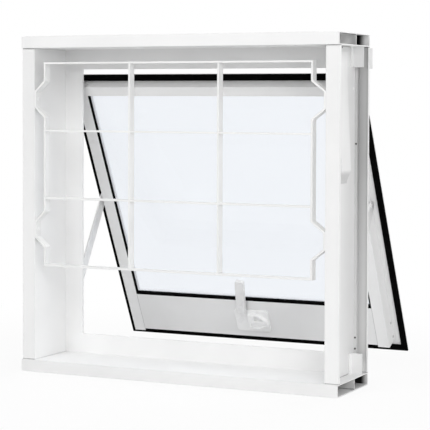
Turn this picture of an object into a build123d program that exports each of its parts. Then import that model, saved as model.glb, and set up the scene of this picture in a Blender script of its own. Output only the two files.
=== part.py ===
from build123d import *

import os
from math import cos, hypot, radians, sin

# Aluminium awning window with a grille on its room side, seen with its sash open.
# X runs along the width, Y from the room face to the outside, Z up.
# The origin is the middle of the sill rail's underside. Sizes are in millimetres.

# Casing
frame_width = 610.0
frame_height = 600.0
frame_depth = 140.0
rail_height = 21.0
jamb_width = 25.0
casing_wall = 1.5
chamber_split = 77.0
jamb_recess = 4.0
jamb_front_lip = 6.5
jamb_back_lip = 4.0
jamb_rib_reach = 5.5
jamb_rib_depth = 6.5

# Stops that the sash closes on
rebate_depth = 30.0
stop_height = 36.0
stop_wall = 2.0
stop_lip = 4.0

# Corner cleats, back angles and wall anchors
cleat_height = 35.0
cleat_wall = 2.0
cleat_leg = 12.0
cleat_reach = 21.0
cleat_inset = 20.0
back_angle_leg = 14.0
back_angle_gap = 2.0
anchor_wall = 2.0
anchor_width = 42.0
anchor_setback = 50.0
anchor_top_gap = 10.0
anchor_flat = 45.0
anchor_slope = 154.0
anchor_bow = 7.3
anchor_return = 18.0
anchor_foot = 4.0

# Grille of flat bars on edge, flush with the jambs' front
bar_thickness = 3.2
bar_depth = 16.0
grille_top_gap = 27.0
grille_bottom_gap = 171.0
grille_side_gap = 22.6
grille_shift = -2.0
kink_contact = 28.0
kink_slope = 18.0
kink_shift = 4.0

# Sash, measured from its outline at the weather seal's room face
sash_side_margin = 14.0
sash_end_margin = 16.5
sash_angle = 25.9
sash_drop = 67.4
sash_gap = 0.3
stile_clearance = 12.6
fin_top = 12.0
fin_bottom = 27.0
face_side = 22.8
face_top = 17.7
face_bottom = 80.0
body_height = 26.4
sash_wall = 1.5
fin_wall = 2.0
seal_width = 11.5
seal_thickness = 3.0
stile_overrun = 4.2

# Glazing
glass_thickness = 4.0
glass_bite = 8.0
glass_clearance = 1.0
glass_setback = 5.0
outer_lip_gap = 3.0
gasket_grip = 6.0
gasket_head = 2.6
gasket_bottom_head = 5.6
bedding_thickness = 2.0
bedding_width = 5.0

# Stays
track_width = 16.0
track_depth = 3.2
track_wall = 1.2
track_inset = 9.6
track_end_gap = 4.0
arm_width = 19.0
arm_thickness = 2.5
arm_clearance = 0.3
arm_frame_height = 112.0
arm_sash_down = 251.0
arm_sash_height = 14.4
rivet_radius = 2.5
rivet_head_radius = 4.5
rivet_head_height = 1.5
pin_clearance = 0.1
spacer_radius = 5.0
shoe_length = 36.0
shoe_clearance = 0.3
shoe_proud = 1.3
shoe_sash_down = 16.0
shoe_sash_height = 18.0
shoe_pin_radius = 4.0

# Handle, its heights measured from the sash's bottom edge
base_width = 70.0
base_length = 46.5
base_thickness = 4.0
base_radius = 6.0
base_shift = -2.0
base_height = 64.7
lever_width = 17.3
lever_length = 73.0
lever_thickness = 8.0
lever_radius = 4.0
lever_shift = -14.5
lever_height = 119.5
lever_turn = -8.0
latch_reach = 40.0
latch_height = 31.0
latch_thickness = 8.0
latch_shift = -7.0
latch_foot = 51.0
latch_shoulder = 22.0
latch_nose_low = 8.0
latch_nose_high = 17.0
latch_hub = 13.0
latch_rim = 3.0
latch_rib_low = 12.0
latch_rib_high = 18.0

half_width = frame_width / 2
room_face = -frame_depth / 2
back_face = frame_depth / 2
opening_top = frame_height - rail_height
inner_half = half_width - jamb_width
jamb_face = room_face + jamb_recess
stop_face = back_face - rebate_depth
grille_top = opening_top - grille_top_gap
grille_bottom = rail_height + grille_bottom_gap
grille_pitch_x = 2 * (inner_half - grille_side_gap) / 3
grille_pitch_z = (grille_top - grille_bottom) / 3
sash_width = frame_width - 2 * sash_side_margin
sash_length = frame_height - 2 * sash_end_margin
fin_side = jamb_width + stile_clearance - sash_side_margin


def span(x0, x1, y0, y1):
    """Rectangle from its limits."""
    return Pos((x0 + x1) / 2, (y0 + y1) / 2) * Rectangle(x1 - x0, y1 - y0)


def rail():
    """Closed tube with a mid wall, its underside on z = 0."""
    outer = Rectangle(frame_depth, rail_height)
    clear = rail_height - 2 * casing_wall
    front = chamber_split - 1.5 * casing_wall
    rear = frame_depth - chamber_split - 1.5 * casing_wall
    outer -= Pos(room_face + casing_wall + front / 2, 0) * Rectangle(front, clear)
    outer -= Pos(back_face - casing_wall - rear / 2, 0) * Rectangle(rear, clear)
    return Pos(0, 0, rail_height / 2) * extrude(Plane.YZ * outer, frame_width / 2, both=True)


def left_jamb_solid():
    """Channel that opens to the masonry, with returned lips and a rib in its rear corner."""
    web = jamb_width - casing_wall
    section = span(web, jamb_width, jamb_face, back_face)
    section += span(0, jamb_width, jamb_face, jamb_face + casing_wall)
    section += span(0, jamb_width, back_face - casing_wall, back_face)
    section += span(0, casing_wall, jamb_face, jamb_face + jamb_front_lip)
    section += span(0, casing_wall, back_face - jamb_back_lip, back_face)
    section += span(web - jamb_rib_reach, web, back_face - casing_wall - jamb_rib_depth, back_face - casing_wall)
    return Pos(-half_width, 0, rail_height) * extrude(section, frame_height - 2 * rail_height)


def stop_section():
    """Angle with a turned edge: x is away from the frame member, y is the depth."""
    section = Pos(stop_height / 2, stop_wall / 2) * Rectangle(stop_height, stop_wall)
    section += Pos(casing_wall / 2, rebate_depth / 2) * Rectangle(casing_wall, rebate_depth)
    section += Pos(stop_height - stop_wall / 2, stop_lip / 2) * Rectangle(stop_wall, stop_lip)
    return section


def rail_stop(plane):
    """Stop along the head or the sill, between the jambs."""
    return extrude(plane * stop_section(), 2 * inner_half)


def left_stop_solid():
    """Stop on the left jamb, between the sill's stop and the head's."""
    height = opening_top - rail_height - 2 * stop_height
    stop = extrude(stop_section(), height)
    return Pos(-inner_half, stop_face, rail_height + stop_height) * stop


def left_cleat(top):
    """Angle in the jamb channel that screws the jamb to a rail."""
    web = -inner_half - casing_wall
    y = back_face - cleat_inset
    leg = Box(cleat_wall, cleat_leg, cleat_height, align=(Align.MAX, Align.MAX, Align.MIN))
    plate = Box(cleat_reach, cleat_wall, cleat_height, align=(Align.MAX, Align.MAX, Align.MIN))
    z = opening_top - cleat_height if top else rail_height
    return Pos(web, y, z) * (leg + plate)


def left_back_angle():
    """Short angle on the jamb's rear flange, beside the sash's top corner."""
    foot = Box(cleat_leg, cleat_wall, cleat_height, align=(Align.MIN, Align.MIN, Align.MAX))
    leg = Box(cleat_wall, back_angle_leg, cleat_height, align=(Align.MIN, Align.MIN, Align.MAX))
    return Pos(-half_width, back_face, opening_top - back_angle_gap) * (foot + leg)


def left_anchor_solid():
    """Strap on the jamb's web, bowed off it so that mortar gets behind."""
    points = [(0, 0)]
    for out, down in ((0, anchor_flat), (-anchor_bow, anchor_slope), (0, anchor_return), (0, anchor_foot)):
        points.append((out, points[-1][1] - down))
    strap = extrude(Plane.XZ * strip(points, anchor_wall), -anchor_width)
    x = -inner_half - casing_wall - anchor_wall / 2
    return Pos(x, room_face + anchor_setback, opening_top - anchor_top_gap) * strap


def flat_bar(length):
    """Grille bar along X, its narrow edge to the room, centred on z = 0."""
    bar = Box(length, bar_depth, bar_thickness, align=(Align.CENTER, Align.MIN, Align.CENTER))
    return Pos(grille_shift, jamb_face, 0) * bar


def grille_pieces():
    """Bars of the grille: uprights run whole, cross bars are notched over them."""
    side_x = 1.5 * grille_pitch_x
    upright_x = 0.5 * grille_pitch_x
    height = grille_top - grille_bottom
    pieces = {}
    uprights = {}
    for name, x in (("left", -upright_x), ("right", upright_x)):
        upright = Box(bar_thickness, bar_depth, height - bar_thickness, align=(Align.CENTER, Align.MIN, Align.CENTER))
        place = Pos(grille_shift + x, jamb_face, grille_bottom + height / 2)
        uprights[name] = place * upright
    cross_length = 2 * side_x - bar_thickness
    half = bar_depth / 2
    for name, z in (("lower", grille_bottom + grille_pitch_z), ("upper", grille_bottom + 2 * grille_pitch_z)):
        cross = Pos(0, 0, z) * flat_bar(cross_length)
        for side, x in (("left", -upright_x), ("right", upright_x)):
            middle = Pos(grille_shift + x, jamb_face, z)
            notch = Box(bar_thickness, half, bar_thickness, align=(Align.CENTER, Align.MIN, Align.CENTER))
            cross -= middle * Pos(0, half, 0) * notch
            uprights[side] -= middle * notch
        pieces[f"grille_{name}_bar"] = cross
    pieces["grille_bottom_bar"] = Pos(0, 0, grille_bottom) * flat_bar(cross_length)
    pieces["grille_top_bar"] = Pos(0, 0, grille_top) * flat_bar(cross_length)
    for side in ("left", "right"):
        pieces[f"grille_{side}_upright"] = uprights[side]
        pieces[f"grille_{side}_side"] = kinked_side(-1 if side == "left" else 1, side_x)
    return pieces


def kinked_side(side, side_x):
    """Side bar with two kinks that reach the jamb, where it is screwed on."""
    reach = inner_half - side * grille_shift - bar_thickness / 2
    low = grille_bottom + grille_pitch_z / 2 + kink_shift
    high = grille_top - grille_pitch_z / 2 - kink_shift
    points = [(side_x, grille_bottom - bar_thickness / 2)]
    for middle in (low, high):
        points.append((side_x, middle - kink_contact / 2 - kink_slope))
        points.append((reach, middle - kink_contact / 2))
        points.append((reach, middle + kink_contact / 2))
        points.append((side_x, middle + kink_contact / 2 + kink_slope))
    points.append((side_x, grille_top + bar_thickness / 2))
    bar = extrude(Plane.XZ * strip([(side * x, z) for x, z in points], bar_thickness), -bar_depth)
    return Pos(grille_shift, jamb_face, 0) * bar


def strip(points, width):
    """Face of a strip with mitred bends, centred on an open line of points."""
    points = [Vector(*point) for point in points]
    runs = [(b - a).normalized() for a, b in zip(points, points[1:])]
    edges = []
    for side in (1, -1):
        edge = []
        for point, before, after in zip(points, runs[:1] + runs, runs + runs[-1:]):
            middle = (before + after).normalized()
            reach = side * width / 2 / middle.dot(before)
            edge.append(point + Vector(-middle.Y, middle.X) * reach)
        edges += edge[::side]
    return make_face(Polyline(*edges, close=True))


def to_window(shape):
    """Swings a piece of the sash from upright, hung at its top edge, to its open place."""
    hinge = Pos(0, back_face + sash_gap, frame_height - sash_drop)
    return hinge * Rot(sash_angle, 0, 0) * shape


def sash_point(down, height):
    """Depth and level of a point that is down the sash and proud of its seal plane."""
    a = radians(sash_angle)
    y = back_face + sash_gap + down * sin(a) - height * cos(a)
    z = frame_height - sash_drop - down * cos(a) - height * sin(a)
    return y, z


glass_room = body_height - glass_setback
glass_outer = glass_room - glass_thickness
groove_outer = glass_outer - bedding_thickness
groove_room = body_height - sash_wall
groove_depth = glass_bite + glass_clearance
outer_lip = groove_outer - sash_wall
plate_outer = -seal_thickness - fin_wall


def fin_section(fin, face):
    return span(0, fin + face - groove_depth, plate_outer, -seal_thickness)


def body_section(fin, face):
    """Hollow body with the two lips of the glazing groove: x inward, y to the room."""
    inner = fin + face
    groove = inner - groove_depth
    body = span(fin, groove, plate_outer, body_height)
    body -= span(fin + sash_wall, groove - sash_wall, plate_outer + fin_wall, body_height - sash_wall)
    body += span(groove, inner - outer_lip_gap, outer_lip, groove_outer)
    body += span(groove, inner, groove_room, body_height)
    return body


def left_stile():
    plane = Plane(origin=(-sash_width / 2, 0, 0), x_dir=(1, 0, 0), z_dir=(0, 0, -1))
    fin = extrude(plane * fin_section(fin_side, face_side), sash_length)
    length = sash_length - fin_top - fin_bottom + stile_overrun
    body = extrude(plane * body_section(fin_side, face_side), length)
    return fin + Pos(0, 0, -fin_top) * body


def rail_between_stiles(plane, fin, face):
    """Rail whose hollow body runs on behind the stiles' glazing lips, up to their bodies."""
    section = fin_section(fin, face) + body_section(fin, face)
    behind_lips = section & span(0, fin + face, plate_outer, outer_lip)
    rail = extrude(plane * section, edge_x, both=True)
    return rail + extrude(plane * behind_lips, edge_x + groove_depth, both=True)


def top_rail():
    return rail_between_stiles(Plane((0, 0, 0), (0, 0, -1), (-1, 0, 0)), fin_top, face_top)


def bottom_rail():
    return rail_between_stiles(Plane((0, 0, -sash_length), (0, 0, 1), (1, 0, 0)), fin_bottom, face_bottom)


# Edges of the clear opening inside the sash
edge_x = sash_width / 2 - fin_side - face_side
edge_top = -fin_top - face_top
edge_bottom = -sash_length + fin_bottom + face_bottom


def ring(out, sides, top, bottom, low, high):
    """Strip around the clear opening: out is its reach behind the edges, the rest inside them."""
    outer = span(-edge_x - out, edge_x + out, edge_bottom - out, edge_top + out)
    outer -= span(-edge_x + sides, edge_x - sides, edge_bottom + bottom, edge_top - top)
    return Pos(0, -low, 0) * extrude(Plane.XZ * outer, high - low)


def glazing_gasket():
    grip = ring(gasket_grip, gasket_head, 0, gasket_bottom_head, glass_room, groove_room)
    head = ring(0, gasket_head, 0, gasket_bottom_head, groove_room, body_height)
    return grip + head


def bedding_gasket():
    inside = -outer_lip_gap
    return ring(outer_lip_gap + bedding_width, inside, inside, inside, groove_outer, glass_outer)


def glass():
    pane = span(-edge_x - glass_bite, edge_x + glass_bite, edge_bottom - glass_bite, edge_top + glass_bite)
    return Pos(0, -glass_outer, 0) * extrude(Plane.XZ * pane, glass_thickness)


def weather_seal():
    outer = Rectangle(sash_width, sash_length)
    outer -= Rectangle(sash_width - 2 * seal_width, sash_length - 2 * seal_width)
    return Pos(0, seal_thickness, -sash_length / 2) * extrude(Plane.XZ * outer, seal_thickness)


track_face = inner_half - casing_wall
arm_near = track_face - track_depth - arm_clearance
arm_far = arm_near - arm_thickness
stile_side = sash_width / 2 - fin_side


def left_track():
    """Lipped channel on the jamb's stop, in which the sash's shoe slides."""
    outer = span(0, track_depth, -track_width / 2, track_width / 2)
    outer -= span(track_wall, track_depth, -track_width / 2 + track_wall, track_width / 2 - track_wall)
    height = opening_top - rail_height - 2 * (stop_height + track_end_gap)
    track = extrude(outer, height)
    return Pos(-track_face, back_face - track_inset, rail_height + stop_height + track_end_gap) * track


def left_arm():
    """Flat stay arm with round ends, from the track to the stile."""
    y0, z0 = back_face - track_inset, arm_frame_height
    y1, z1 = sash_point(arm_sash_down, arm_sash_height)
    length = hypot(y1 - y0, z1 - z0)
    arm = SlotCenterToCenter(length, arm_width)
    for end in (-1, 1):
        arm -= Pos(end * length / 2, 0) * Circle(rivet_radius + pin_clearance)
    along = Vector(0, y1 - y0, z1 - z0)
    plane = Plane(origin=(-arm_near, (y0 + y1) / 2, (z0 + z1) / 2), x_dir=along, z_dir=(1, 0, 0))
    return extrude(plane * arm, arm_thickness)


def along_x(radius, x0, x1, y, z):
    """Round piece that runs across the window from x0 to x1."""
    plane = Plane(origin=(x0, y, z), x_dir=(0, 1, 0), z_dir=(1, 0, 0))
    return extrude(plane * Circle(radius), x1 - x0)


def left_rivets():
    """Rivets at both ends of the arm, the upper one with its spacer on the stile."""
    y0, z0 = back_face - track_inset, arm_frame_height
    y1, z1 = sash_point(arm_sash_down, arm_sash_height)
    floor = -track_face + track_wall
    lower = along_x(rivet_radius, floor, -arm_far, y0, z0)
    lower += along_x(rivet_head_radius, -arm_far, -arm_far + rivet_head_height, y0, z0)
    upper = along_x(rivet_radius, -arm_near, -arm_far, y1, z1)
    upper += along_x(rivet_head_radius, -arm_near - rivet_head_height, -arm_near, y1, z1)
    upper += along_x(spacer_radius, -arm_far, -stile_side, y1, z1)
    return Compound([lower.solid(), upper.solid()])


def left_shoe():
    """Block that slides in the track, with the pin that carries the sash's top corner."""
    y, z = sash_point(shoe_sash_down, shoe_sash_height)
    floor = -track_face + track_wall
    front = -track_face + track_depth + shoe_proud
    width = track_width - 2 * (track_wall + shoe_clearance)
    block = Box(front - floor, width, shoe_length, align=(Align.MIN, Align.CENTER, Align.CENTER))
    block = Pos(floor, back_face - track_inset, z) * block
    return block + along_x(shoe_pin_radius, front, -stile_side, y, z)


def on_face(shift, up, height):
    """Place on the sash's room face, with Z out to the room and Y up the sash."""
    plane = Plane(origin=(shift, -height, up - sash_length), x_dir=(1, 0, 0), z_dir=(0, -1, 0))
    return Location(plane)


def handle_base():
    plate = extrude(RectangleRounded(base_width, base_length, base_radius), base_thickness)
    plate = chamfer(plate.faces().sort_by(Axis.Z)[-1].edges(), 1)
    return on_face(base_shift, base_height, body_height) * plate


def handle_lever():
    """Flat lever, turned a little out of the upright, its lower end on the base."""
    lever = extrude(RectangleRounded(lever_width, lever_length, lever_radius), lever_thickness)
    lever = chamfer(lever.faces().sort_by(Axis.Z)[-1].edges(), 1)
    return on_face(lever_shift, lever_height, body_height + base_thickness) * Rot(0, 0, lever_turn) * lever


def handle_latch():
    """Pointed latch: a hub on its left and a rib to its nose, between two recesses."""
    outline = [(0, 0), (0, latch_height), (latch_shoulder, latch_height), (latch_reach, latch_nose_high)]
    outline += [(latch_reach, latch_nose_low), (latch_shoulder, 0)]
    outline = make_face(Polyline(*outline, close=True))
    inside = offset(outline, -latch_rim, kind=Kind.INTERSECTION)
    above_rib = inside & span(latch_hub, latch_reach, latch_rib_high, latch_height)
    below_rib = inside & span(latch_rim, latch_reach, 0, latch_rib_low)
    body = chamfer(extrude(outline, latch_thickness).faces().sort_by(Axis.Z)[-1].edges(), 1)
    body -= Pos(0, 0, latch_thickness * 0.35) * extrude(above_rib, latch_thickness)
    body -= Pos(0, 0, latch_thickness * 0.7) * extrude(below_rib, latch_thickness)
    return on_face(latch_shift, latch_foot, body_height + base_thickness) * body


parts = {}
parts["sill_rail"] = rail()
parts["head_rail"] = Pos(0, 0, opening_top) * rail()
parts["sill_stop"] = rail_stop(Plane((inner_half, stop_face, rail_height), (0, 0, 1), (-1, 0, 0)))
parts["head_stop"] = rail_stop(Plane((-inner_half, stop_face, opening_top), (0, 0, -1), (1, 0, 0)))

sided = {
    "jamb": left_jamb_solid(),
    "stop": left_stop_solid(),
    "top_cleat": left_cleat(True),
    "bottom_cleat": left_cleat(False),
    "back_angle": left_back_angle(),
    "anchor": left_anchor_solid(),
    "stay_track": left_track(),
    "stay_arm": left_arm(),
    "stay_rivets": left_rivets(),
    "stay_shoe": left_shoe(),
}
for name, shape in sided.items():
    parts[f"left_{name}"] = shape
    parts[f"right_{name}"] = mirror(shape, Plane.YZ)

parts.update(grille_pieces())

stile = left_stile()
sash = {
    "sash_left_stile": stile,
    "sash_right_stile": mirror(stile, Plane.YZ),
    "sash_top_rail": top_rail(),
    "sash_bottom_rail": bottom_rail(),
    "weather_seal": weather_seal(),
    "glazing_gasket": glazing_gasket(),
    "bedding_gasket": bedding_gasket(),
    "glass_pane": glass(),
    "handle_base": handle_base(),
    "handle_lever": handle_lever(),
    "handle_latch": handle_latch(),
}
for name, shape in sash.items():
    parts[name] = to_window(shape)

os.makedirs("parts", exist_ok=True)
for name, shape in parts.items():
    export_step(shape, f"parts/{name}.step")
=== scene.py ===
import math

import bpy
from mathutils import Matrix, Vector


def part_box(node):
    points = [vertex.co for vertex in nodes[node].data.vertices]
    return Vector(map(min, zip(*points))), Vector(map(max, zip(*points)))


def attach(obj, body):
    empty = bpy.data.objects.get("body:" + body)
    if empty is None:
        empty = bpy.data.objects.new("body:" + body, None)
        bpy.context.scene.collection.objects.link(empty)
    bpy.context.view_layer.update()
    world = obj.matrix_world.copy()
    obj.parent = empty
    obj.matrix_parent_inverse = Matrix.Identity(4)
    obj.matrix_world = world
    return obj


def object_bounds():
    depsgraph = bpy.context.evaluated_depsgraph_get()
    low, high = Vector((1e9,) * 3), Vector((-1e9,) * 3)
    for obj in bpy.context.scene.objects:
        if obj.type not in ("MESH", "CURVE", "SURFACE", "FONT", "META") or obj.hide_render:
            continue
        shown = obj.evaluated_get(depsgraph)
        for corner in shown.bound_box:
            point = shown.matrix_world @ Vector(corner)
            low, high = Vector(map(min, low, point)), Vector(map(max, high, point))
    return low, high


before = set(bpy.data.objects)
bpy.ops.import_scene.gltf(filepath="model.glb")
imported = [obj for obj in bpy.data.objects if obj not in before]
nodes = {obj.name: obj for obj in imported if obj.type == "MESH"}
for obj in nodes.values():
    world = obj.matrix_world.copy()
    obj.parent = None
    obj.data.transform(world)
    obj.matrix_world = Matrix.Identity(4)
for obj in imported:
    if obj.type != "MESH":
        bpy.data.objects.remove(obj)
cad_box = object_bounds()


# Casing: head and sill are closed tubes, the jambs are channels screwed between them.
# Extruded aluminium with a white powder coat, which has a fine orange peel. Painted shade
# darkens the coat inside the tubes and the channels, and fine joints show at the jambs' ends.
sill_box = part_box("sill_rail")
casing_front = sill_box[0][1]
casing_end, casing_back, rail_height = sill_box[1]
head_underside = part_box("head_rail")[0][2]
mid_height = cad_box[1][2] / 2
wall = 0.0015
front_chamber_depth = 0.077
mid_wall = casing_front + front_chamber_depth

# Masks: one that covers the whole piece, and the margin that keeps the others' limits
# off the faces that they end at.
everywhere = 1
hair = 0.00005


def new_material(name):
    """Material with nothing in its tree but a shader and the output."""
    material = bpy.data.materials.new(name)
    material.use_nodes = True
    tree = material.node_tree
    tree.nodes.clear()
    shader = tree.nodes.new("ShaderNodeBsdfPrincipled")
    output = tree.nodes.new("ShaderNodeOutputMaterial")
    tree.links.new(shader.outputs["BSDF"], output.inputs["Surface"])
    return material


def shader_of(tree):
    """The shader that new_material put into a material's tree."""
    return tree.nodes["Principled BSDF"]


def noise(tree, scale, detail=2.0, stretch=(1, 1, 1)):
    """Noise over the object, its scale per metre, drawn out along an axis by stretch."""
    place = tree.nodes.new("ShaderNodeTexCoord")
    mapping = tree.nodes.new("ShaderNodeMapping")
    mapping.inputs["Scale"].default_value = stretch
    texture = tree.nodes.new("ShaderNodeTexNoise")
    texture.inputs["Scale"].default_value = scale
    texture.inputs["Detail"].default_value = detail
    tree.links.new(place.outputs["Object"], mapping.inputs["Vector"])
    tree.links.new(mapping.outputs["Vector"], texture.inputs["Vector"])
    return texture.outputs["Fac"]


def spread(tree, value, low, high):
    """Noise, most of which lies from 0.3 to 0.7, brought to the range from low to high."""
    ramp = tree.nodes.new("ShaderNodeMapRange")
    for name, limit in zip(("From Min", "From Max", "To Min", "To Max"), (0.3, 0.7, low, high)):
        ramp.inputs[name].default_value = limit
    tree.links.new(value, ramp.inputs["Value"])
    return ramp.outputs["Result"]


def tone(tree, value, dark, light):
    """Colour between two tones, by noise."""
    ramp = tree.nodes.new("ShaderNodeValToRGB")
    for stop, position, colour in zip(ramp.color_ramp.elements, (0.35, 0.65), (dark, light)):
        stop.position = position
        stop.color = (*colour, 1)
    tree.links.new(value, ramp.inputs["Fac"])
    return ramp.outputs["Color"]


def relief(tree, value, depth, strength, edge=0.0):
    """Fine bump of a real depth in metres, over edges rounded by a small radius."""
    bump = tree.nodes.new("ShaderNodeBump")
    if edge:
        bevel = tree.nodes.new("ShaderNodeBevel")
        bevel.samples = 6
        bevel.inputs["Radius"].default_value = edge
        tree.links.new(bevel.outputs["Normal"], bump.inputs["Normal"])
    bump.inputs["Distance"].default_value = depth
    bump.inputs["Strength"].default_value = strength
    tree.links.new(value, bump.inputs["Height"])
    tree.links.new(bump.outputs["Normal"], shader_of(tree).inputs["Normal"])


def powder_coat(name, dark, light, gloss):
    """White powder coat: slightly uneven tone and gloss, and orange peel of a millimetre."""
    material = new_material(name)
    tree = material.node_tree
    inputs = shader_of(tree).inputs
    tree.links.new(tone(tree, noise(tree, scale=9), dark, light), inputs["Base Color"])
    uneven = spread(tree, noise(tree, scale=60, detail=3), gloss - 0.05, gloss + 0.07)
    tree.links.new(uneven, inputs["Roughness"])
    relief(tree, noise(tree, scale=900), depth=0.00004, strength=0.35, edge=0.0008)
    inputs["Specular IOR Level"].default_value = 0.5
    return material


def coat(material, *names):
    """Gives pieces of the window their finish."""
    for name in names:
        mesh = nodes[name].data
        mesh.materials.clear()
        mesh.materials.append(material)


def number(tree, operation, *values):
    """Math node on sockets or plain numbers."""
    node = tree.nodes.new("ShaderNodeMath")
    node.operation = operation
    for socket, value in zip(node.inputs, values):
        if isinstance(value, bpy.types.NodeSocket):
            tree.links.new(value, socket)
        else:
            socket.default_value = value
    return node.outputs["Value"]


def place_in(tree):
    """Where a point lies: across from the middle plane, its depth and its height."""
    place = tree.nodes.new("ShaderNodeTexCoord")
    split = tree.nodes.new("ShaderNodeSeparateXYZ")
    tree.links.new(place.outputs["Object"], split.inputs["Vector"])
    return number(tree, "ABSOLUTE", split.outputs["X"]), split.outputs["Y"], split.outputs["Z"]


def from_mid_height(tree, height):
    """Distance above or below the casing's middle, the same for the head and the sill."""
    return number(tree, "ABSOLUTE", number(tree, "SUBTRACT", height, mid_height))


def both(tree, *masks):
    """1 where all of the masks are 1."""
    product = masks[0]
    for mask in masks[1:]:
        product = number(tree, "MULTIPLY", product, mask)
    return product


def within(tree, value, low, high):
    """1 where a value lies between two limits, else 0."""
    return number(tree, "COMPARE", value, (low + high) / 2, (high - low) / 2)


def on_face(tree, value, face):
    """1 on the flat face that lies at one value of across, depth or height."""
    skin = 0.0003
    return within(tree, value, face - skin, face + skin)


def slide(tree, value, over, ends):
    """Runs smoothly from one end value to the other over a stretch, given in metres."""
    ramp = tree.nodes.new("ShaderNodeMapRange")
    ramp.interpolation_type = "SMOOTHSTEP"
    for name, limit in zip(("From Min", "From Max", "To Min", "To Max"), (*over, *ends)):
        ramp.inputs[name].default_value = limit
    tree.links.new(value, ramp.inputs["Value"])
    return ramp.outputs["Result"]


def shade(tree, where, share):
    """Brings the coat's tone down to a share of itself where a mask is 1."""
    base = shader_of(tree).inputs["Base Color"]
    loss = number(tree, "MULTIPLY", where, number(tree, "SUBTRACT", 1, share))
    scale = tree.nodes.new("ShaderNodeVectorMath")
    scale.operation = "SCALE"
    tree.links.new(base.links[0].from_socket, scale.inputs[0])
    tree.links.new(number(tree, "SUBTRACT", 1, loss), scale.inputs["Scale"])
    tree.links.new(scale.outputs["Vector"], base)


def spot(tree, place, centre, radius):
    """1 inside a small ball around a point, on the left and on the right."""
    point = tree.nodes.new("ShaderNodeCombineXYZ")
    for socket, value in zip(point.inputs, place):
        tree.links.new(value, socket)
    away = tree.nodes.new("ShaderNodeVectorMath")
    away.operation = "DISTANCE"
    away.inputs[1].default_value = centre
    tree.links.new(point.outputs["Vector"], away.inputs[0])
    return number(tree, "LESS_THAN", away.outputs["Value"], radius)


casing_white = powder_coat("casing_white", (0.915, 0.915, 0.915), (0.940, 0.940, 0.938), 0.42)
coat(casing_white, "head_rail", "sill_rail")
tree = casing_white.node_tree
across, depth, height = place_in(tree)
# Painted shade: the casing's front face is brought down a trace.
shade(tree, on_face(tree, depth, casing_front), 0.92)

# Inside the tubes, short of their cut ends and above the sill's inner floor.
from_middle = from_mid_height(tree, height)
in_tube = both(
    tree,
    within(tree, from_middle, mid_height - rail_height + wall / 2, mid_height - wall / 2),
    within(tree, depth, casing_front + wall / 2, casing_back - wall / 2),
    within(tree, across, 0, casing_end - hair),
    number(tree, "GREATER_THAN", height, wall + hair),
)
front_chamber = both(tree, in_tube, number(tree, "LESS_THAN", depth, mid_wall))
rear_chamber = both(tree, in_tube, number(tree, "GREATER_THAN", depth, mid_wall))
sill_to_head = (rail_height, head_underside)
# Painted shade: the front chambers are darker, the sill's more than the head's, darker still in the
# sill's floor corner and in the head's chamber near its cut end.
shade(tree, front_chamber, slide(tree, height, sill_to_head, (0.72, 1.0)))
corner_height = 0.0019
floor_corner = both(tree, front_chamber, within(tree, height, wall, wall + corner_height))
shade(tree, floor_corner, 0.5)
from_end = number(tree, "SUBTRACT", casing_end, across)
head_chamber = both(tree, front_chamber, number(tree, "GREATER_THAN", height, mid_height))
chamber_mouth = (0.002, 0.019)
shade(tree, head_chamber, slide(tree, from_end, chamber_mouth, (0.58, 1.0)))

# Painted shade in the rear chambers: lit a little way in from their open ends, then fading to black
# past that.
sill_light_reach, head_light_reach = 0.0125, 0.0195
shade_fade_length = 0.013
lit_length = slide(tree, height, sill_to_head, (sill_light_reach, head_light_reach))
past_lit_length = number(tree, "SUBTRACT", from_end, lit_length)
shade(tree, rear_chamber, slide(tree, past_lit_length, (-shade_fade_length, 0), (1, 0)))

jamb_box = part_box("right_jamb")
inner_face, jamb_front = jamb_box[0][:2]
web_face = inner_face + wall
flange_face = casing_back - wall
rib_front = flange_face - 0.0065
rib_side = web_face + 0.0055

# Stretches over which the jambs' painted shade changes, in metres from the window's origin.
up_the_front = (0.1, 0.5)
inside_the_top = (0.42, 0.57)
over_the_sill = (0.03, 0.05)
up_the_flange = (0.15, 0.42)
flange_root = (0.286, 0.298)
flange_lip = (0.299, 0.3045)
along_the_web = (-0.01, 0.06)
under_the_head = (0.545, head_underside)
up_the_rib = (0.1, 0.45)

jamb_white = powder_coat("jamb_white", (0.905, 0.905, 0.905), (0.930, 0.930, 0.928), 0.42)
coat(jamb_white, "left_jamb", "right_jamb")
tree = jamb_white.node_tree
across, depth, height = place_in(tree)
# Painted shade: the jamb fronts darken going up, and the inner faces darken near the top, under the
# head.
shade(tree, on_face(tree, depth, jamb_front), slide(tree, height, up_the_front, (0.96, 0.9)))
shade(tree, on_face(tree, across, inner_face), slide(tree, height, inside_the_top, (1.0, 0.86)))

# Painted shade in the channel: on the rear flange, darker going up and at its root and lip, on the
# web, darker towards the rear and under the head, and on the rib in their corner.
past_web = number(tree, "GREATER_THAN", across, web_face + hair)
above_sill = slide(tree, height, over_the_sill, (0.0, 1.0))
flange = both(tree, on_face(tree, depth, flange_face), past_web, above_sill)
shade(tree, flange, slide(tree, height, up_the_flange, (0.76, 0.58)))
shade(tree, flange, slide(tree, across, flange_root, (0.85, 1.0)))
shade(tree, flange, slide(tree, across, flange_lip, (1.0, 0.76)))
web = on_face(tree, across, web_face)
shade(tree, web, slide(tree, depth, along_the_web, (0.96, 0.84)))
shade(tree, web, slide(tree, height, under_the_head, (1.0, 0.8)))
rib_edge = both(tree, on_face(tree, depth, rib_front), past_web)
shade(tree, rib_edge, slide(tree, height, up_the_rib, (0.8, 0.66)))
rib_depth = within(tree, depth, rib_front - hair, flange_face + hair)
rib_flank = both(tree, on_face(tree, across, rib_side), rib_depth)
shade(tree, rib_flank, slide(tree, height, up_the_rib, (0.66, 0.42)))

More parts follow.
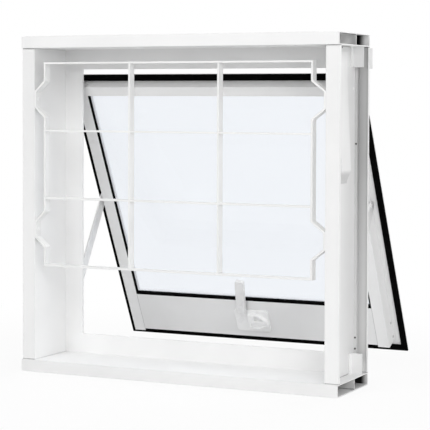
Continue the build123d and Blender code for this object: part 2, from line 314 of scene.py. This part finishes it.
# Pilot holes, three in the rib and one in the web near the head, painted as near-black spots of shade
# and not modelled.
rib_middle = (web_face + rib_side) / 2
pilot_holes = [(rib_middle, rib_front, level) for level in (0.062, 0.081, 0.4136)]
pilot_holes.append((web_face, 0.0027, 0.5766))
pilot_radius = 0.0017
in_channel = number(tree, "GREATER_THAN", across, inner_face + wall / 2)
for hole in pilot_holes:
    hole_shade = spot(tree, (across, depth, height), hole, pilot_radius)
    shade(tree, both(tree, hole_shade, in_channel), 0.03)

# Joints where the jambs meet the head and the sill, darker in the channel than inside.
jamb_end = mid_height - rail_height
joint_height = 0.0014
joint = within(tree, from_mid_height(tree, height), jamb_end - joint_height, jamb_end + hair)
through_web = (inner_face + 0.0002, web_face - 0.0003)
shade(tree, joint, slide(tree, across, through_web, (0.8, 0.5)))


# Stops: angles that the sash closes on, screwed to the casing's inner faces.
# The same extruded and coated aluminium, a trace less bright than the casing.
stop_white = powder_coat("stop_white", (0.88, 0.88, 0.88), (0.91, 0.91, 0.908), 0.42)
coat(stop_white, "head_stop", "sill_stop", "left_stop", "right_stop")
tree = stop_white.node_tree
height = place_in(tree)[2]
# Painted shade: the stops darken towards the top, under the head.
top_of_stops = (0.42, 0.56)
shade(tree, everywhere, slide(tree, height, top_of_stops, (1.0, 0.9)))


# Cleats and back angles: short angles of aluminium sheet in the casing's corners, with a
# thin white coat. The cleats screw the jambs to the rails, behind the jambs' webs.
cleat_white = powder_coat("cleat_white", (0.90, 0.90, 0.90), (0.95, 0.95, 0.95), 0.5)
coat(cleat_white, *[name for name in nodes if name.endswith(("cleat", "back_angle"))])
tree = cleat_white.node_tree
# Painted shade: the cleats in the top half, under the head, are darker.
top_half = number(tree, "GREATER_THAN", place_in(tree)[2], mid_height)
shade(tree, top_half, 0.83)


# Wall anchors: straps of aluminium sheet on the jambs' webs, with a thin white coat.
# They are bowed, so that mortar gets behind them, and end in a return that lies in shade.
anchor_white = powder_coat("anchor_white", (0.87, 0.87, 0.87), (0.92, 0.92, 0.92), 0.5)
coat(anchor_white, "left_anchor", "right_anchor")
tree = anchor_white.node_tree
height = place_in(tree)[2]
end_of_return = (0.362, 0.372)
# Painted shade: the straps darken under the head and on their return.
shade(tree, everywhere, slide(tree, height, under_the_head, (1.0, 0.8)))
shade(tree, everywhere, slide(tree, height, end_of_return, (0.72, 1.0)))


# Grille: flat bars half-lapped where they cross, and kinked bars screwed to the jambs.
# Aluminium, coated after it was put together, so its white is softer than the casing's.
grille_white = powder_coat("grille_white", (0.835, 0.835, 0.83), (0.865, 0.865, 0.86), 0.38)
coat(grille_white, *[name for name in nodes if name.startswith("grille_")])


# Screws and rivets: pan heads that hold the grille to the jambs and the stiles to the
# bottom rail, with a cross recess, and a plain domed rivet through each jamb's web.
def head_tree(name, recessed):
    """Geometry Nodes tree that sets a domed head on each point, facing its own way."""
    tree = bpy.data.node_groups.new(name, "GeometryNodeTree")
    tree.interface.new_socket("Points", in_out="INPUT", socket_type="NodeSocketGeometry")
    for label in ("Radius", "Height", "Slot"):
        tree.interface.new_socket(label, in_out="INPUT", socket_type="NodeSocketFloat")
    tree.interface.new_socket("Material", in_out="INPUT", socket_type="NodeSocketMaterial")
    tree.interface.new_socket("Heads", in_out="OUTPUT", socket_type="NodeSocketGeometry")
    start = tree.nodes.new("NodeGroupInput")
    ball = tree.nodes.new("GeometryNodeMeshUVSphere")
    ball.inputs["Segments"].default_value = 24
    ball.inputs["Rings"].default_value = 12
    ball.inputs["Radius"].default_value = 1
    size = tree.nodes.new("ShaderNodeCombineXYZ")
    for axis, label in (("X", "Radius"), ("Y", "Radius"), ("Z", "Height")):
        tree.links.new(start.outputs[label], size.inputs[axis])
    dome = tree.nodes.new("GeometryNodeTransform")
    tree.links.new(ball.outputs["Mesh"], dome.inputs["Geometry"])
    tree.links.new(size.outputs["Vector"], dome.inputs["Scale"])
    head = dome.outputs["Geometry"]
    if recessed:
        cut = tree.nodes.new("GeometryNodeMeshBoolean")
        cut.operation = "DIFFERENCE"
        tree.links.new(head, cut.inputs["Mesh 1"])
        slot_length = number(tree, "MULTIPLY", start.outputs["Radius"], 1.2)
        for long_axis, short_axis in (("X", "Y"), ("Y", "X")):
            slot_size = tree.nodes.new("ShaderNodeCombineXYZ")
            tree.links.new(slot_length, slot_size.inputs[long_axis])
            tree.links.new(start.outputs["Slot"], slot_size.inputs[short_axis])
            tree.links.new(start.outputs["Height"], slot_size.inputs["Z"])
            slot = tree.nodes.new("GeometryNodeMeshCube")
            tree.links.new(slot_size.outputs["Vector"], slot.inputs["Size"])
            raised = tree.nodes.new("ShaderNodeCombineXYZ")
            tree.links.new(start.outputs["Height"], raised.inputs["Z"])
            lift = tree.nodes.new("GeometryNodeTransform")
            tree.links.new(slot.outputs["Mesh"], lift.inputs["Geometry"])
            tree.links.new(raised.outputs["Vector"], lift.inputs["Translation"])
            tree.links.new(lift.outputs["Geometry"], cut.inputs["Mesh 2"])
        head = cut.outputs["Mesh"]
    facing = tree.nodes.new("GeometryNodeInputNamedAttribute")
    facing.data_type = "FLOAT_VECTOR"
    facing.inputs["Name"].default_value = "facing"
    turn = tree.nodes.new("FunctionNodeAlignRotationToVector")
    turn.axis = "Z"
    tree.links.new(facing.outputs["Attribute"], turn.inputs["Vector"])
    placed = tree.nodes.new("GeometryNodeInstanceOnPoints")
    tree.links.new(start.outputs["Points"], placed.inputs["Points"])
    tree.links.new(head, placed.inputs["Instance"])
    tree.links.new(turn.outputs["Rotation"], placed.inputs["Rotation"])
    real = tree.nodes.new("GeometryNodeRealizeInstances")
    tree.links.new(placed.outputs["Instances"], real.inputs["Geometry"])
    finish = tree.nodes.new("GeometryNodeSetMaterial")
    tree.links.new(real.outputs["Geometry"], finish.inputs["Geometry"])
    tree.links.new(start.outputs["Material"], finish.inputs["Material"])
    end = tree.nodes.new("NodeGroupOutput")
    tree.links.new(finish.outputs["Geometry"], end.inputs["Heads"])
    return tree


def set_heads(name, tree, places, material, radius, height, slot=0.0):
    """Piece with a head at each place, which is a point and the way it faces."""
    mesh = bpy.data.meshes.new(name + "_points")
    mesh.from_pydata([point for point, way in places], [], [])
    facing = mesh.attributes.new("facing", "FLOAT_VECTOR", "POINT")
    for item, (point, way) in zip(facing.data, places):
        item.vector = way
    piece = bpy.data.objects.new(name, mesh)
    bpy.context.scene.collection.objects.link(piece)
    modifier = piece.modifiers.new("heads", "NODES")
    modifier.node_group = tree
    values = {"Radius": radius, "Height": height, "Slot": slot, "Material": material}
    for item in tree.interface.items_tree:
        if item.in_out == "INPUT" and item.name in values:
            modifier[item.identifier] = values[item.name]
    real = piece.evaluated_get(bpy.context.evaluated_depsgraph_get())
    solid = bpy.data.meshes.new_from_object(real)
    piece.modifiers.remove(modifier)
    piece.data = solid
    piece.data.name = name
    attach(piece, "root")


sides = (-1, 1)
screw_tree = head_tree("screw_heads", recessed=True)
rivet_tree = head_tree("rivet_heads", recessed=False)

# Two screws through the inner face of each kinked bar, where it touches the jamb.
bar_thickness = 0.0032
side_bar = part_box("grille_right_side")
bar_face = side_bar[1][0] - bar_thickness
bar_middle = (side_bar[0][1] + side_bar[1][1]) / 2
contact_heights = (0.256, 0.488)
places = [
    ((side * bar_face, bar_middle, level), (-side, 0, 0))
    for side in sides
    for level in contact_heights
]
screw_white = powder_coat("screw_white", (0.93, 0.93, 0.93), (0.95, 0.95, 0.95), 0.3)
set_heads("grille_screws", screw_tree, places, screw_white, radius=0.0034, height=0.0014, slot=0.0009)

# One rivet on the outer face of each jamb's web.
rivet_depth = 0.0556
rivet_level = 0.508
places = [((side * web_face, rivet_depth, rivet_level), (side, 0, 0)) for side in sides]
rivet_white = powder_coat("rivet_white", (0.90, 0.90, 0.90), (0.93, 0.93, 0.93), 0.3)
set_heads("jamb_rivets", rivet_tree, places, rivet_white, radius=0.0026, height=0.0011)

# Two screws through the outer flank of each stile into the bottom rail.
stile_flank = 0.2674
rail_screws = ((0.2887, 0.0767), (0.3023, 0.0500))
places = [
    ((side * stile_flank, depth_in, level), (side, 0, 0))
    for side in sides
    for depth_in, level in rail_screws
]
# Their darker grey is painted shade: it stands in for the dark recesses round their heads.
screw_grey = powder_coat("screw_grey", (0.55, 0.55, 0.55), (0.65, 0.65, 0.65), 0.35)
set_heads("stile_screws", screw_tree, places, screw_grey, radius=0.0026, height=0.0012, slot=0.0008)


# Sash: hollow stiles and rails with an outer fin, extruded in aluminium and coated like
# the casing. The bottom rail fits between the stiles, where fine joints show.
sash_white = powder_coat("sash_white", (0.955, 0.955, 0.955), (0.975, 0.975, 0.975), 0.42)
coat(sash_white, "sash_top_rail", "sash_bottom_rail", "sash_left_stile", "sash_right_stile")
tree = sash_white.node_tree
across, _, height = place_in(tree)
stile_face_width = 0.0228
stile_edge = stile_flank - stile_face_width
bottom_rail_top = 0.13
half_joint = 0.0004
joint = within(tree, across, stile_edge - half_joint, stile_edge + half_joint)
shade(tree, both(tree, joint, number(tree, "LESS_THAN", height, bottom_rail_top)), 0.55)
# Painted shade: between the stiles the sash darkens towards the bottom rail.
between_rails = (0.2, 0.4)
between_stiles = number(tree, "LESS_THAN", across, stile_edge)
shade(tree, between_stiles, slide(tree, height, between_rails, (0.95, 1.0)))
# Painted light: the sash is brought down below its top edge, so that the top rail's upper side, in
# shade under the head, stays lighter.
top_edge = (0.545, 0.56)
shade(tree, everywhere, slide(tree, height, top_edge, (0.915, 1.0)))


# Glass: one 4 mm float pane, clear, with the faint blue of its body, held between the
# sash's lips. Light goes straight through it, so that nothing is shaded behind it.
pane_glass = new_material("pane_glass")
coat(pane_glass, "glass_pane")
tree = pane_glass.node_tree
shader = shader_of(tree)
shader.inputs["Base Color"].default_value = (0.885, 0.912, 0.952, 1)
shader.inputs["Transmission Weight"].default_value = 1
shader.inputs["Roughness"].default_value = 0
shader.inputs["IOR"].default_value = 1.5
relief(tree, noise(tree, scale=3), depth=0.0002, strength=0.03)
through = tree.nodes.new("ShaderNodeBsdfTransparent")
through.inputs["Color"].default_value = (0.93, 0.93, 0.93, 1)
ray = tree.nodes.new("ShaderNodeLightPath")
mix = tree.nodes.new("ShaderNodeMixShader")
tree.links.new(ray.outputs["Is Shadow Ray"], mix.inputs["Fac"])
tree.links.new(shader.outputs["BSDF"], mix.inputs[1])
tree.links.new(through.outputs["BSDF"], mix.inputs[2])
tree.links.new(mix.outputs["Shader"], tree.nodes["Material Output"].inputs["Surface"])


# Gaskets and weather seal: black extruded rubber, pressed into the sash's grooves.
# Dull, with a fine grain and a little bloom.
rubber_black = new_material("rubber_black")
coat(rubber_black, "weather_seal", "glazing_gasket", "bedding_gasket")
tree = rubber_black.node_tree
inputs = shader_of(tree).inputs
bloom = noise(tree, scale=40, detail=4)
black = tone(tree, bloom, (0.0015, 0.0015, 0.0015), (0.003, 0.003, 0.003))
tree.links.new(black, inputs["Base Color"])
tree.links.new(spread(tree, bloom, 0.7, 0.85), inputs["Roughness"])
relief(tree, noise(tree, scale=500), depth=0.0001, strength=0.3)
inputs["Specular IOR Level"].default_value = 0.02


# Stays: a track on each jamb, a shoe that slides in it, and an arm riveted to the jamb
# and the stile. Mill-finish aluminium, drawn along its length. The shoe is a white moulding.
def drawn_aluminium(name, dark, light, gloss):
    """Bare aluminium with fine lines that run along the window's height."""
    material = new_material(name)
    tree = material.node_tree
    inputs = shader_of(tree).inputs
    lines = noise(tree, scale=300, stretch=(1, 1, 0.05))
    tree.links.new(tone(tree, lines, dark, light), inputs["Base Color"])
    tree.links.new(spread(tree, lines, gloss - 0.06, gloss + 0.08), inputs["Roughness"])
    relief(tree, lines, depth=0.00003, strength=0.3)
    inputs["Metallic"].default_value = 0.55
    return material


stay_aluminium = drawn_aluminium("stay_aluminium", (0.80, 0.80, 0.80), (0.86, 0.86, 0.86), 0.5)
rivet_aluminium = drawn_aluminium("rivet_aluminium", (0.80, 0.80, 0.80), (0.88, 0.88, 0.88), 0.4)
shoe_white = powder_coat("shoe_white", (0.78, 0.78, 0.77), (0.82, 0.82, 0.81), 0.55)
for side in ("left", "right"):
    coat(stay_aluminium, f"{side}_stay_track", f"{side}_stay_arm")
    coat(rivet_aluminium, f"{side}_stay_rivets")
    coat(shoe_white, f"{side}_stay_shoe")


# Handle: a base screwed to the bottom rail, a lever and the latch that it turns.
# Die-cast, with the same white as the sash but more gloss, and a softer white on the lever.
handle_whites = {
    "handle_base": ((0.92, 0.92, 0.92), (0.94, 0.94, 0.94), 0.3),
    "handle_lever": ((0.82, 0.82, 0.82), (0.85, 0.85, 0.85), 0.28),
    "handle_latch": ((0.965, 0.965, 0.965), (0.98, 0.98, 0.98), 0.28),
}
for piece, (dark, light, gloss) in handle_whites.items():
    coat(powder_coat(f"{piece}_white", dark, light, gloss), piece)


# Studio: a pale floor and a white surround. The floor just under the window keeps its
# shadow, and both look white to the camera and through the glass.
def rays(tree, *kinds):
    """1 for rays of any of the kinds."""
    path = tree.nodes.new("ShaderNodeLightPath")
    seen = path.outputs[kinds[0]]
    for kind in kinds[1:]:
        seen = number(tree, "MAXIMUM", seen, path.outputs[kind])
    return seen


half_floor = 12.0
floor_level = -0.0005
mesh = bpy.data.meshes.new("floor")
corners = [
    (x * half_floor, y * half_floor, floor_level)
    for x, y in ((-1, -1), (1, -1), (1, 1), (-1, 1))
]
mesh.from_pydata(corners, [], [(0, 1, 2, 3)])
floor = bpy.data.objects.new("floor", mesh)
bpy.context.scene.collection.objects.link(floor)
floor_white = new_material("floor_white")
mesh.materials.append(floor_white)
tree = floor_white.node_tree
shader = shader_of(tree)
pale = tone(tree, noise(tree, scale=2), (0.90, 0.90, 0.90), (0.92, 0.92, 0.92))
tree.links.new(pale, shader.inputs["Base Color"])
shader.inputs["Roughness"].default_value = 0.9
shader.inputs["Specular IOR Level"].default_value = 0.1
glow = tree.nodes.new("ShaderNodeEmission")
glow.inputs["Strength"].default_value = 1
place = tree.nodes.new("ShaderNodeTexCoord")
away = tree.nodes.new("ShaderNodeVectorMath")
away.operation = "LENGTH"
tree.links.new(place.outputs["Object"], away.inputs[0])
shadow_ends = (0.35, 1.1)
white_share = slide(tree, away.outputs["Value"], shadow_ends, (0.9, 1.0))
seen = rays(tree, "Is Camera Ray", "Is Transmission Ray")
mix = tree.nodes.new("ShaderNodeMixShader")
tree.links.new(both(tree, seen, white_share), mix.inputs["Fac"])
tree.links.new(shader.outputs["BSDF"], mix.inputs[1])
tree.links.new(glow.outputs["Emission"], mix.inputs[2])
tree.links.new(mix.outputs["Shader"], tree.nodes["Material Output"].inputs["Surface"])

world = bpy.data.worlds.new("studio")
world.use_nodes = True
bpy.context.scene.world = world
tree = world.node_tree
tree.nodes.clear()
mix = tree.nodes.new("ShaderNodeMixShader")
seen = rays(tree, "Is Camera Ray", "Is Glossy Ray", "Is Transmission Ray")
tree.links.new(seen, mix.inputs["Fac"])
room_light, plain_white = 0.38, 1
for socket, strength in zip(mix.inputs[1:], (room_light, plain_white)):
    light = tree.nodes.new("ShaderNodeBackground")
    light.inputs["Color"].default_value = (1, 1, 1, 1)
    light.inputs["Strength"].default_value = strength
    tree.links.new(light.outputs["Background"], socket)
output = tree.nodes.new("ShaderNodeOutputWorld")
tree.links.new(mix.outputs["Shader"], output.inputs["Surface"])


# Lamps: two large soft ones in front, over the left and the right, a smaller one low on
# the right and a large one behind. All are aimed at the middle of the window.
def lamp(name, place, size, power):
    """Square soft lamp, its size in metres and its power in watts."""
    data = bpy.data.lights.new(name, "AREA")
    data.shape = "SQUARE"
    data.size = size
    data.energy = power
    light = bpy.data.objects.new(name, data)
    light.location = place
    aim = Vector((0, 0, mid_height)) - Vector(place)
    light.rotation_euler = aim.to_track_quat("-Z", "Y").to_euler()
    bpy.context.scene.collection.objects.link(light)


lamp("key", (-0.6, -2.6, 2.2), size=1.8, power=40)
lamp("fill", (2.4, -2.4, 1.4), size=1.6, power=31.5)
lamp("side", (3.0, -0.3, 0.4), size=0.75, power=11)
lamp("back", (0.6, 3.0, 1.6), size=2.0, power=34)


# Camera: at the photograph's place, to the right of the window and level with its upper
# half. Lens, shift, place and tilt are fitted to the casing's corners and edges.
camera_data = bpy.data.cameras.new("camera")
camera_data.sensor_width = 36
camera_data.lens = 134.54
camera_data.shift_x = -0.05855
camera_data.shift_y = -0.14569
camera = bpy.data.objects.new("camera", camera_data)
camera.location = (1.27318, -2.50691, 0.48724)
camera.rotation_euler = [math.radians(angle) for angle in (88.145245, -0.191401, 25.185688)]
bpy.context.scene.collection.objects.link(camera)
bpy.context.scene.camera = camera

bpy.context.scene.view_settings.view_transform = "Standard"
